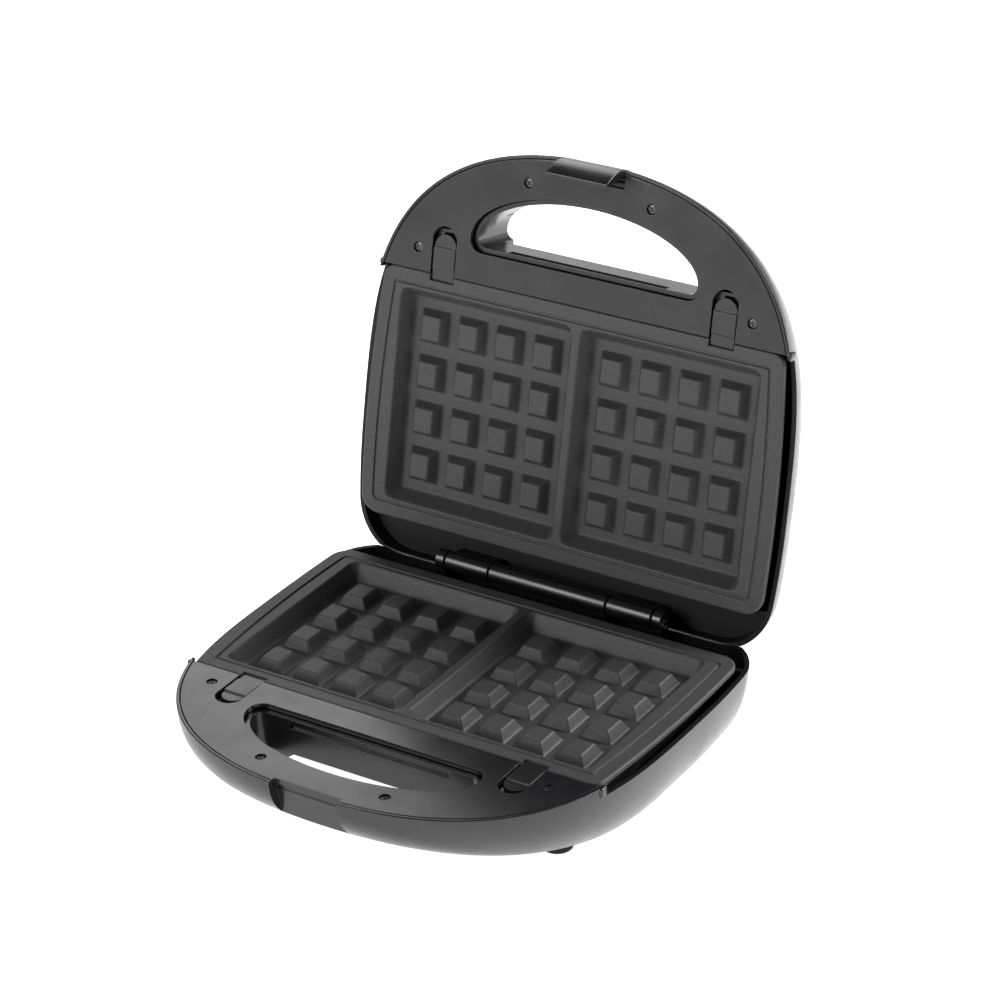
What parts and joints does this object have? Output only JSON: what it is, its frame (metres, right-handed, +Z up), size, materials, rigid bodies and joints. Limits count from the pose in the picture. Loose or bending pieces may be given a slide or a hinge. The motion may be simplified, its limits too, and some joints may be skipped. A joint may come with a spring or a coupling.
{
  "type": "waffle maker",
  "caption": "Open clamshell waffle maker: oval black shells with hand holes, rear hinge, removable square-studded plates held by sliding clips, and a pivoting lid latch.",
  "frame": {"origin": "centre of the open object's footprint box, on the surface it stands on", "axes": "+X to the right seen from the handles, +Y from the handles to the hinge, +Z up"},
  "size_m": [0.2372, 0.2756, 0.2519],
  "materials": {
    "moulded_shell": "satin black moulded shell",
    "handle_cover": "fine-textured black",
    "non_stick_plate": "cast, dark speckled non-stick coating",
    "heater_steel": "drawn tube, heat-dulled",
    "reflector_sheet": "bright pressed sheet",
    "clip_plastic": "satin black",
    "latch_plastic": "satin black",
    "spring_steel": "bright drawn wire",
    "screw_steel": "black oxide",
    "foot_rubber": "matt",
    "thermostat_body": "pressed ceramic-filled body",
    "red_lens": "translucent red",
    "green_lens": "translucent green"
  },
  "bodies": {
    "base": {"base_housing": "moulded_shell", "base_handle_cover": "handle_cover", "lower_waffle_plate": "non_stick_plate", "lower_heater": "heater_steel", "lower_reflector": "reflector_sheet", "foot_1": "foot_rubber", "foot_2": "foot_rubber", "foot_3": "foot_rubber", "foot_4": "foot_rubber", "cord_gland": "foot_rubber", "thermostat": "thermostat_body", "thermal_fuse": "spring_steel", "hinge_pin_right": "spring_steel", "hinge_pin_left": "spring_steel", "base_cover_screw_1": "screw_steel", "base_cover_screw_2": "screw_steel", "base_cover_screw_3": "screw_steel", "base_cover_screw_4": "screw_steel"},
    "lid": {"lid_housing": "moulded_shell", "lid_handle_cover": "handle_cover", "upper_waffle_plate": "non_stick_plate", "upper_heater": "heater_steel", "upper_reflector": "reflector_sheet", "latch_pin": "spring_steel", "power_lamp": "red_lens", "ready_lamp": "green_lens", "lid_cover_screw_1": "screw_steel", "lid_cover_screw_2": "screw_steel", "lid_cover_screw_3": "screw_steel", "lid_cover_screw_4": "screw_steel"},
    "latch": {"latch": "latch_plastic"},
    "lower_clip_left": {"lower_clip_left": "clip_plastic", "lower_clip_spring_left": "spring_steel"},
    "lower_clip_right": {"lower_clip_right": "clip_plastic", "lower_clip_spring_right": "spring_steel"},
    "upper_clip_left": {"upper_clip_left": "clip_plastic", "upper_clip_spring_left": "spring_steel"},
    "upper_clip_right": {"upper_clip_right": "clip_plastic", "upper_clip_spring_right": "spring_steel"}
  },
  "joints": [
    {"name": "lid_hinge", "type": "hinge", "parent": "base", "child": "lid", "pos_m": [0, 0.0725, 0.04455], "axis": [1, 0, 0], "range_deg": [0, 102.4]},
    {"name": "latch_pivot", "type": "hinge", "parent": "lid", "child": "latch", "pos_m": [0, 0.12398, 0.24354], "axis": [-1, 0, 0], "range_deg": [0, 25]},
    {"name": "lower_clip_left_slide", "type": "slide", "parent": "base", "child": "lower_clip_left", "axis": [0, -1, 0], "range_m": [0, 0.0036], "stiffness_N_per_m": 300, "springref_m": -0.002},
    {"name": "lower_clip_right_slide", "type": "slide", "parent": "base", "child": "lower_clip_right", "axis": [0, -1, 0], "range_m": [0, 0.0036], "stiffness_N_per_m": 300, "springref_m": -0.002},
    {"name": "upper_clip_left_slide", "type": "slide", "parent": "lid", "child": "upper_clip_left", "axis": [0, 0.2147, 0.9767], "range_m": [0, 0.0036], "stiffness_N_per_m": 300, "springref_m": -0.002},
    {"name": "upper_clip_right_slide", "type": "slide", "parent": "lid", "child": "upper_clip_right", "axis": [0, 0.2147, 0.9767], "range_m": [0, 0.0036], "stiffness_N_per_m": 300, "springref_m": -0.002}
  ]
}
